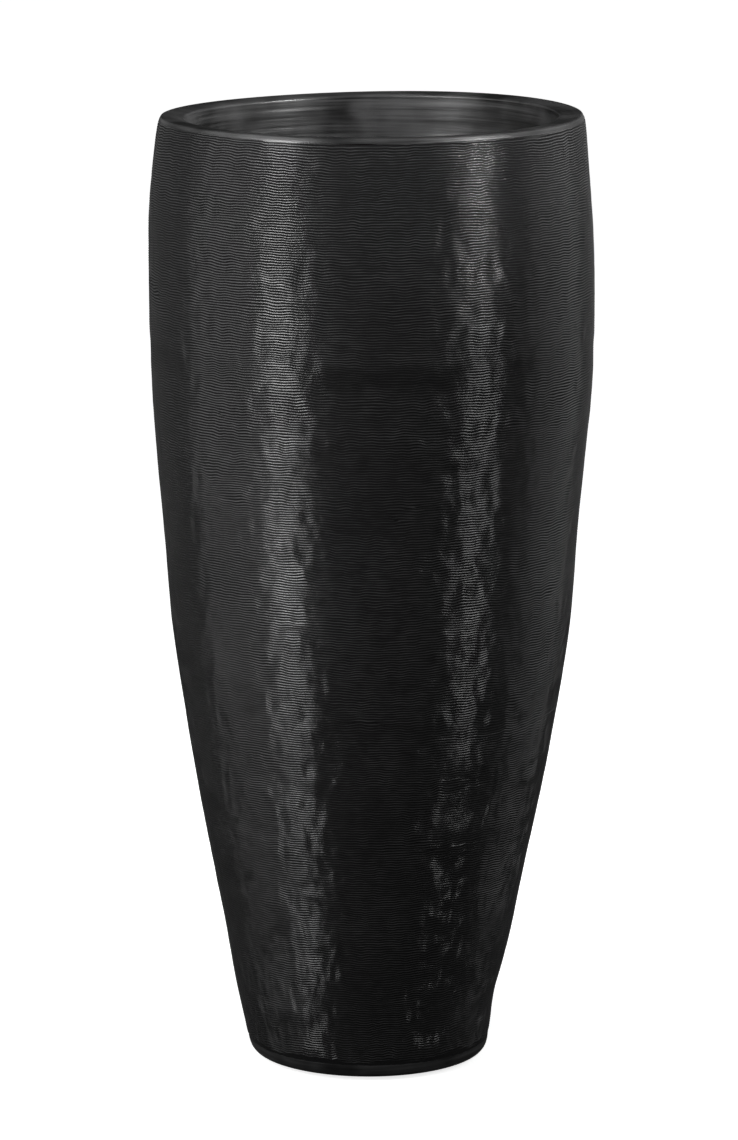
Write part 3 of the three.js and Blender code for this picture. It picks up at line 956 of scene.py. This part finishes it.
class PLANTER_OT_floor_and_fillet(bpy.types.Operator):
    """Builds the bonded floor with its drain hole, and the resin fillet round it"""

    bl_idname = "planter.floor_and_fillet"
    bl_label = "Floor and fillet"

    roughness = 0.22 * MM
    fillet_toe = 2.5 * MM     # how much wider than high the fillet is
    run_out = 1.1 * MM        # how far the resin runs out over the floor, and how unevenly it stands
    run_up = 0.25 * MM

    def execute(self, context):
        self.floor(context.scene.planter_fittings.soft_edge)
        self.fillet(context.scene.planter_coat.swell)
        return {"FINISHED"}

    def floor(self, soft_edge):
        hole, edge, low, high = round_extent("floor_disc")
        section = rounded([(hole, low), (edge, low), (edge, high), (hole, high)], soft_edge)
        on_top = [height > high - MERGE for _, height in section]
        after = 1 + next(i for i, (radius, _) in enumerate(section) if on_top[i] and radius > edge - 2 * MM)
        section[after:after] = [(radius, high) for radius in np.linspace(edge - 3 * MM, hole + 3 * MM, 26)]
        radius, height = columns(section)
        laid_up = (height > high - MERGE) & (radius > hole + 2 * MM)
        rough = Drift(42, 0.010, 0.030, girth=FULL_TURN * edge)

        def shape(turn):
            return placed(radius, height + laid_up * self.roughness * rough(radius, turn), turn)

        mesh = ring_mesh("floor_laminate", section, len(section), 144, shape)
        finished("floor_laminate", mesh, "root", ["floor_disc"], chopped_laminate)

    def fillet(self, swell):
        _, outer, low, high = round_extent("floor_fillet")
        leg = high - low
        toe = outer - leg - self.fillet_toe
        sweep = np.linspace(0, QUARTER_TURN, 9)
        face = zip(toe + (outer - toe) * np.sin(sweep) ** 1.2, low + leg * (1 - np.cos(sweep)) ** 1.1)
        section = [*face, (outer + 0.8 * MM, high), (outer - 0.5 * MM, low)]
        radius, height = columns(section)
        free = (np.arange(len(section)) < len(sweep))[:, None]
        near_toe = np.linspace(1, 0, len(section))[:, None] * free
        runny = Drift(43, 0.02, 0.028, girth=FULL_TURN * outer)

        def shape(turn):
            waver = runny(height * 4, turn)
            lifted = np.maximum(height + free * self.run_up * waver, low)
            return hand_laid(radius - near_toe * self.run_out * waver, lifted, turn, swell)

        mesh = ring_mesh("resin_fillet", section, len(section), 180, shape)
        finished("resin_fillet", mesh, "root", ["floor_fillet"], cured_resin)


class PLANTER_OT_drain_plug(bpy.types.Operator):
    """Builds the rubber plug in the drain hole, with its ribbed grip"""

    bl_idname = "planter.drain_plug"
    bl_label = "Drain plug"

    stem = 10.5 * MM
    neck = 5 * MM
    knob = 9 * MM
    seat_height = 9 * MM
    ribs = 16
    rib_depth = 0.5 * MM

    def execute(self, context):
        _, head, low, high = round_extent("drain_plug")
        stem, neck, knob, seat = self.stem, self.neck, self.knob, low + self.seat_height
        corners = [
            (0, low), (stem - 1.5 * MM, low), (stem, low + 2 * MM),
            (stem, seat - 5 * MM), (stem - 0.7 * MM, seat - 4.4 * MM), (stem, seat - 3.6 * MM),
            (stem, seat), (head, seat), (head, seat + 3 * MM), (head - 2 * MM, seat + 4 * MM),
            (neck + 2.5 * MM, seat + 4.6 * MM), (neck, seat + 6.5 * MM), (neck, high - 7 * MM),
            (knob, high - 5 * MM), (knob, high - 2 * MM), (knob - 2 * MM, high), (0, high - 0.4 * MM),
        ]
        plug = turned(rounded(corners, 0.9 * MM, closed=False), 96)
        for vert in plug.verts:
            reach = math.hypot(vert.co.x, vert.co.y)
            if vert.co.z > high - 5.2 * MM and reach > knob - 0.6 * MM:
                wave = math.cos(self.ribs * math.atan2(vert.co.y, vert.co.x))
                notch = self.rib_depth * (0.5 - 0.5 * wave)
                vert.co.x *= 1 - notch / reach
                vert.co.y *= 1 - notch / reach
        finished("rubber_plug", plug, "plug", ["drain_plug"], moulded_rubber)
        return {"FINISHED"}


def nodes_named(start):
    return sorted(name for name in frame["nodes"] if name.startswith(start))


class PLANTER_OT_foot_pads(bpy.types.Operator):
    """Builds the four stick-on pads under the foot"""

    bl_idname = "planter.foot_pads"
    bl_label = "Foot pads"

    groove_depth = 0.35 * MM

    def execute(self, context):
        for node in nodes_named("foot_pad_"):
            low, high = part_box(node)
            middle = (low + high) / 2
            radius = (high.x - low.x) / 2
            corners = [
                (0, low.z), (radius - 3.4 * MM, low.z), (radius - 2.6 * MM, low.z + self.groove_depth),
                (radius - 1.8 * MM, low.z), (radius, low.z), (radius, high.z), (0, high.z),
            ]
            pad = moved(turned(rounded(corners, 0.5 * MM, closed=False), 64), (middle.x, middle.y, 0))
            finished(f"rubber_pad_{node[-1]}", pad, "root", [node], moulded_rubber)
        return {"FINISHED"}


class PLANTER_OT_shelf_brackets(bpy.types.Operator):
    """Builds the three laminated corbels on the wall that carry the shelf"""

    bl_idname = "planter.shelf_brackets"
    bl_label = "Shelf brackets"

    edge_round = 2.2 * MM
    bond_depth = 1.5 * MM

    def execute(self, context):
        swell = context.scene.planter_coat.swell
        for node in nodes_named("shelf_bracket_"):
            block = bmesh.new()
            block.from_mesh(frame["nodes"][node].data)
            bmesh.ops.remove_doubles(block, verts=block.verts, dist=0.05 * MM)
            bmesh.ops.dissolve_limit(block, angle_limit=math.radians(4), verts=block.verts, edges=block.edges)
            self.bond_to_wall(block)
            sharp = [edge for edge in block.edges if edge.calc_face_angle(0) > math.radians(25)]
            eased(block, sharp, self.edge_round)
            bmesh.ops.triangulate(block, faces=[face for face in block.faces if len(face.verts) > 4])
            name = f"laminate_bracket_{node[-1]}"
            mesh = as_mesh(block, name)
            x, y, z = mesh_points(mesh).T
            place_points(mesh, hand_laid(np.hypot(x, y), z, np.arctan2(y, x) / FULL_TURN, swell))
            finished(name, mesh, "root", [node], chopped_laminate)
        return {"FINISHED"}

    def bond_to_wall(self, block):
        """Takes the bracket's back on into the laminate."""
        for vert in block.verts:
            reach = math.hypot(vert.co.x, vert.co.y)
            wall = float(outline.radius(outline.station_at(vert.co.z))) - WALL
            if reach > wall - 2.5 * MM:
                grow = (wall + self.bond_depth) / reach
                vert.co.x *= grow
                vert.co.y *= grow


# ---------------------------------------------------------------- shelf, liner pot, collar and handles


class PLANTER_OT_shelf(bpy.types.Operator):
    """Builds the loose shelf with its finger hole and drain holes"""

    bl_idname = "planter.shelf"
    bl_label = "Shelf"

    finger_hole = 22 * MM
    drain_hole = 8 * MM
    drain_circle = 85 * MM
    hole_ease = 1.2 * MM

    def execute(self, context):
        _, edge, low, high = round_extent("planting_shelf")
        corners = [(self.finger_hole, low), (edge, low), (edge, high), (self.finger_hole, high)]
        plate = as_mesh(turned(rounded(corners, 1.5 * MM, 5), BOOLEAN_ROUNDS))
        for at in four_places(self.drain_circle):
            plate = combined(plate, self.hole(low, high, at), "DIFFERENCE")
        finished("shelf_plate", plate, "shelf", ["planting_shelf"], shelf_board)
        return {"FINISHED"}

    def hole(self, low, high, at):
        """A cutter that leaves the hole's edges rounded."""
        ease = self.hole_ease
        beyond = self.drain_hole + ease
        side = [(self.drain_hole, height) for height in np.linspace(low + ease, high - ease, 3)]
        flare = [(beyond - ease * math.cos(sweep), high - ease + ease * math.sin(sweep))
                 for sweep in np.linspace(0, QUARTER_TURN, 6)[1:]]
        mirror = [(radius, low + high - height) for radius, height in reversed(flare)]
        below = [(0, low - ease), (beyond, low - ease)]
        above = [(beyond, high + ease), (0, high + ease)]
        return moved(turned(below + mirror + side + flare + above, 64), (*at, 0))


class PLANTER_OT_liner_pot(bpy.types.Operator):
    """Builds the liner pot with its edge flange, moulded rings, feet and drain holes"""

    bl_idname = "planter.liner_pot"
    bl_label = "Liner pot"

    wall = 3 * MM
    floor_radius = 125 * MM
    corner = 14 * MM
    edge_width = 5 * MM
    foot_height = 8 * MM
    foot_radius = 13 * MM
    foot_circle = 100 * MM
    drain_radius = 6 * MM
    drain_circle = 55 * MM
    ring_height = 0.35 * MM
    ring_width = 1.1 * MM
    ring_drops = (0.022, 0.030, 0.120, 0.200)   # how far the moulded rings lie below the edge

    def execute(self, context):
        low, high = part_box("liner_pot")
        bottom = low.z + self.foot_height
        mesh = as_mesh(turned(self.section(bottom, high.z), BOOLEAN_ROUNDS))
        for at in four_places(self.foot_circle, QUARTER_TURN / 2):
            foot = post(self.foot_radius, low.z, bottom + self.wall / 2, at, edge=1.2 * MM)
            mesh = combined(mesh, foot, "UNION")
        for at in four_places(self.drain_circle):
            drain = post(self.drain_radius, bottom - self.wall, bottom + 3 * self.wall, at)
            mesh = combined(mesh, drain, "DIFFERENCE")
        finished("liner_shell", mesh, "liner", ["liner_pot"], liner_plastic)
        return {"FINISHED"}

    def section(self, bottom, top):
        """The pot in section: up its outside, over its edge and down its inside."""
        wall = self.wall
        _, rim, _, _ = round_extent("liner_pot")
        top_radius = rim - self.edge_width
        flat = self.floor_radius - self.corner
        outside = [(0.0, bottom), (flat, bottom)]
        for sweep in np.linspace(0, QUARTER_TURN, 9)[1:]:
            rise = self.corner * (1 - math.cos(sweep))
            outside.append((flat + self.corner * math.sin(sweep), bottom + rise))
        inside = [(radius - wall if radius else 0.0, height + wall) for radius, height in outside]
        start, end = bottom + self.corner, top - wall
        for share in np.linspace(0, 1, 60)[1:]:
            height = start + share * (end - start)
            radius = self.floor_radius + share * (top_radius - self.floor_radius)
            swells = (math.exp(-((height - end + drop) / self.ring_width) ** 2) for drop in self.ring_drops)
            outside.append((radius + self.ring_height * sum(swells), height))
            if share < 0.985:
                inside.append((radius - wall, height))
        lip = [(top_radius, top - wall), (rim, top - wall), (rim, top), (top_radius - wall, top),
               (top_radius - wall, top - 4 * wall)]
        return outside + rounded(lip, 0.7 * MM, closed=False)[1:-1] + inside[::-1]


HANDLE_BAR = 7 * MM
PIN_RADIUS = 2.5 * MM
PIN_FIT = 0.3 * MM
SIDES = (-1, 1)


def hinge_of(joint_name):
    joint = next(joint for joint in frame["joints"] if joint["name"] == joint_name)
    return Vector(joint["pos_m"])


def lug_span():
    """Nearest and farthest reach along Y of the blocks on the collar."""
    points = node_points("liner_collar")
    above = np.abs(points[points[:, 2] > hinge_of("handle_right_fold").z + 1 * MM, 1])
    return above.min(), above.max()


class PLANTER_OT_liner_collar(bpy.types.Operator):
    """Builds the collar that clips on the liner's edge and holds the handles"""

    bl_idname = "planter.liner_collar"
    bl_label = "Liner collar"

    thick = 3 * MM
    clip = 6 * MM
    clip_wall = 2 * MM
    clip_reach = 8.3 * MM     # from the mouth to the clip, past the liner's wall and edge
    lug_width = 12 * MM
    lug_sink = 1.5 * MM

    def execute(self, context):
        hinge = hinge_of("handle_right_fold")
        inner, outer, low, high = round_extent("liner_collar")
        top = hinge.z - HANDLE_BAR / 2 - PIN_FIT
        under = top - self.thick
        clip_inner = inner + self.clip_reach
        clip_outer = clip_inner + self.clip_wall
        corners = [
            (inner, under), (clip_inner, under), (clip_inner, top - self.clip), (clip_outer, top - self.clip),
            (clip_outer, under), (outer - self.thick, under), (outer - self.thick, low), (outer, low),
            (outer, top), (inner, top),
        ]
        mesh = as_mesh(turned(rounded(corners, 0.9 * MM), BOOLEAN_ROUNDS))
        for x in (-hinge.x, hinge.x):
            for end in SIDES:
                mesh = combined(mesh, self.lug(x, end, top, high), "UNION")
                bore = pin(PIN_RADIUS + PIN_FIT, end * 0.14, end * 0.17, x, hinge.z)
                mesh = combined(mesh, bore, "DIFFERENCE")
        finished("liner_rim_collar", mesh, "liner", ["liner_collar"], liner_plastic)
        return {"FINISHED"}

    def lug(self, x, end, top, high):
        """A block with a rounded top that a handle's pin turns in."""
        inner, outer = lug_span()
        middle = (x, end * (inner + outer) / 2, (high + top - self.lug_sink) / 2)
        block = bmesh.new()
        bmesh.ops.create_cube(block, size=1)
        size = (self.lug_width, outer - inner, high - top + self.lug_sink)
        bmesh.ops.scale(block, verts=block.verts, vec=size)
        bmesh.ops.translate(block, verts=block.verts, vec=middle)
        upper = [edge for edge in block.edges
                 if all(vert.co.z > middle[2] for vert in edge.verts)
                 or abs(edge.verts[0].co.z - edge.verts[1].co.z) > 1 * MM]
        eased(block, upper, 1.1 * MM)
        return block


class PLANTER_OT_handles(bpy.types.Operator):
    """Builds the two folding handles with their bosses and pins"""

    bl_idname = "planter.handles"
    bl_label = "Folding handles"

    def execute(self, context):
        lug_inner, lug_outer = lug_span()
        for side, label in zip(SIDES, ("left", "right")):
            node = f"liner_handle_{label}"
            hinge = hinge_of(f"handle_{label}_fold")
            low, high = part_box(node)
            reach = max(abs(low.x), abs(high.x)) - HANDLE_BAR / 2
            mesh = as_mesh(self.bar(side, reach, hinge))
            boss_end = math.sqrt(reach ** 2 - hinge.x ** 2) + HANDLE_BAR / 2
            bars = (
                (HANDLE_BAR / 2, lug_outer + PIN_FIT, boss_end, 0.7 * MM),
                (PIN_RADIUS, lug_inner, boss_end - 1 * MM, 0.4 * MM),
            )
            for end in SIDES:
                for radius, near, far, edge in bars:
                    bar = pin(radius, end * near, end * far, hinge.x, hinge.z, edge)
                    mesh = combined(mesh, bar, "UNION")
            finished(f"bail_{label}", mesh, f"handle_{label}", [node], handle_plastic)
        return {"FINISHED"}

    @staticmethod
    def bar(side, reach, hinge):
        """The round bar, swept along the collar from one hinge to the other."""
        half_sweep = math.acos(abs(hinge.x) / reach)
        start = -half_sweep if side > 0 else math.pi - half_sweep
        bm = bmesh.new()
        bmesh.ops.create_circle(bm, cap_ends=True, radius=HANDLE_BAR / 2, segments=20)
        moved(bm, (reach, 0, hinge.z), Matrix.Rotation(QUARTER_TURN, 3, "X"))
        moved(bm, (0, 0, 0), Matrix.Rotation(start, 3, "Z"))
        bmesh.ops.spin(bm, geom=list(bm.faces), cent=(0, 0, 0), axis=(0, 0, 1), dvec=(0, 0, 0),
                       angle=2 * half_sweep, space=Matrix.Identity(4), steps=110, use_merge=False)
        bmesh.ops.remove_doubles(bm, verts=bm.verts, dist=MERGE)
        bmesh.ops.recalc_face_normals(bm, faces=bm.faces)
        return bm


# ---------------------------------------------------------------- the stage

OPEN = 180   # the spread of a panel that has no grid, in degrees

# Each panel: its power's name, first and last azimuth, lowest and highest point, downward aim and spread.
PANELS = (
    ("left_key", -57, -39, 0.30, 3.4, 0, OPEN),
    ("left_top", -57, -39, 1.30, 1.9, 12, 50),
    ("left_fill", -104, -57, 0.30, 3.4, 0, OPEN),
    ("right_key", 53, 64, 0.95, 3.6, 0, OPEN),
    ("right_top", 53, 64, 1.60, 1.76, 4, 40),
    ("right_fill", 88, 132, 0.30, 2.8, 0, OPEN),
    ("edge_fill", -160, -110, 0.30, 2.8, 0, OPEN),
    ("edge_fill", 134, 166, 0.30, 2.8, 0, OPEN),
    ("front_top", -26, 40, 2.20, 3.7, 0, OPEN),
)


class PLANTER_OT_stage(bpy.types.Operator):
    """Sets the floor, the studio lights and the camera"""

    bl_idname = "planter.stage"
    bl_label = "Stage"

    floor_reach = 60.0
    light_distance = 2.3
    overhead_size = 2.4
    room_light = 0.02

    def execute(self, context):
        scene = context.scene
        bm = bmesh.new()
        bmesh.ops.create_circle(bm, cap_ends=True, radius=self.floor_reach, segments=96)
        mesh = as_mesh(bm, "studio_floor")
        mesh.materials.append(finish_of(studio_floor))
        floor = bpy.data.objects.new("studio_floor", mesh)
        scene.collection.objects.link(floor)
        self.lights(scene)
        self.world(scene)
        self.camera(scene)
        scene.view_settings.view_transform = "Standard"
        return {"FINISHED"}

    def lights(self, scene):
        """Panels round the planter and one above it."""
        stage = scene.planter_stage
        for name, first, last, low, high, fall, spread in PANELS:
            middle = math.radians((first + last) / 2)
            width = 2 * self.light_distance * math.tan(math.radians(last - first) / 2)
            toward = Vector((math.sin(middle), -math.cos(middle), 0))
            place = toward * self.light_distance + Vector((0, 0, (low + high) / 2))
            aim = -toward - Vector((0, 0, math.tan(math.radians(fall))))
            self.panel(scene, name, place, aim, width, high - low, getattr(stage, name), spread)
        self.panel(scene, "overhead", Vector((0, 0.4, 3.4)), Vector((0, 0, -1)),
                   self.overhead_size, self.overhead_size, stage.overhead, OPEN)

    @staticmethod
    def panel(scene, name, place, aim, width, height, power, spread):
        light = bpy.data.lights.new(name, "AREA")
        light.shape = "RECTANGLE"
        light.size = width
        light.size_y = height
        light.energy = power
        light.spread = math.radians(spread)
        lamp = bpy.data.objects.new(name, light)
        lamp.location = place
        lamp.rotation_euler = aim.to_track_quat("-Z", "Y").to_euler()
        lamp.visible_camera = False
        scene.collection.objects.link(lamp)

    def world(self, scene):
        """White where the camera sees past the floor, and dim to everything else."""
        sky = Shading(bpy.data.worlds.new("studio"), "ShaderNodeOutputWorld")
        to_camera = sky.add("ShaderNodeLightPath", output="Is Camera Ray")
        dim, white = (sky.add("ShaderNodeBackground", {}, {"Color": (1, 1, 1, 1), "Strength": strength})
                      for strength in (self.room_light, 1.0))
        scene.world = sky.shown(sky.mixed(to_camera, dim, white))

    @staticmethod
    def camera(scene):
        stage = scene.planter_stage
        lens = bpy.data.cameras.new("camera")
        lens.sensor_width = 36
        lens.lens = stage.focal_length
        lens.clip_end = 200
        camera = bpy.data.objects.new("camera", lens)
        camera.location = (stage.camera_aside, -stage.camera_distance, stage.camera_height)
        camera.rotation_euler = (QUARTER_TURN - stage.camera_tilt, 0, 0)
        scene.collection.objects.link(camera)
        scene.camera = camera


# ---------------------------------------------------------------- panel and registration

PIECES = (
    PLANTER_OT_stage,
    PLANTER_OT_combed_coat,
    PLANTER_OT_rim_coat,
    PLANTER_OT_laminate_wall,
    PLANTER_OT_floor_and_fillet,
    PLANTER_OT_drain_plug,
    PLANTER_OT_foot_pads,
    PLANTER_OT_shelf_brackets,
    PLANTER_OT_shelf,
    PLANTER_OT_liner_pot,
    PLANTER_OT_liner_collar,
    PLANTER_OT_handles,
)


class PLANTER_PT_sidebar(bpy.types.Panel):
    """Lists the planter's pieces and the sizes that they are built to"""

    bl_idname = "PLANTER_PT_sidebar"
    bl_label = "Tall combed planter"
    bl_space_type = "VIEW_3D"
    bl_region_type = "UI"
    bl_category = "Planter"

    def draw(self, context):
        for piece in PIECES:
            self.layout.operator(piece.bl_idname)
        scene = context.scene
        for group in (scene.planter_coat, scene.planter_fittings, scene.planter_stage):
            column = self.layout.column(align=True)
            for name in group.bl_rna.properties.keys():
                if name not in ("rna_type", "name"):
                    column.prop(group, name)


CLASSES = (PLANTER_PG_coat, PLANTER_PG_fittings, PLANTER_PG_stage, *PIECES, PLANTER_PT_sidebar)


def register():
    for cls in CLASSES:
        bpy.utils.register_class(cls)
    bpy.types.Scene.planter_coat = PointerProperty(type=PLANTER_PG_coat)
    bpy.types.Scene.planter_fittings = PointerProperty(type=PLANTER_PG_fittings)
    bpy.types.Scene.planter_stage = PointerProperty(type=PLANTER_PG_stage)


def unregister():
    del bpy.types.Scene.planter_stage
    del bpy.types.Scene.planter_fittings
    del bpy.types.Scene.planter_coat
    for cls in reversed(CLASSES):
        bpy.utils.unregister_class(cls)


def main():
    register()
    for piece in PIECES:
        group, name = piece.bl_idname.split(".")
        getattr(getattr(bpy.ops, group), name)()


if __name__ == "__main__":
    main()
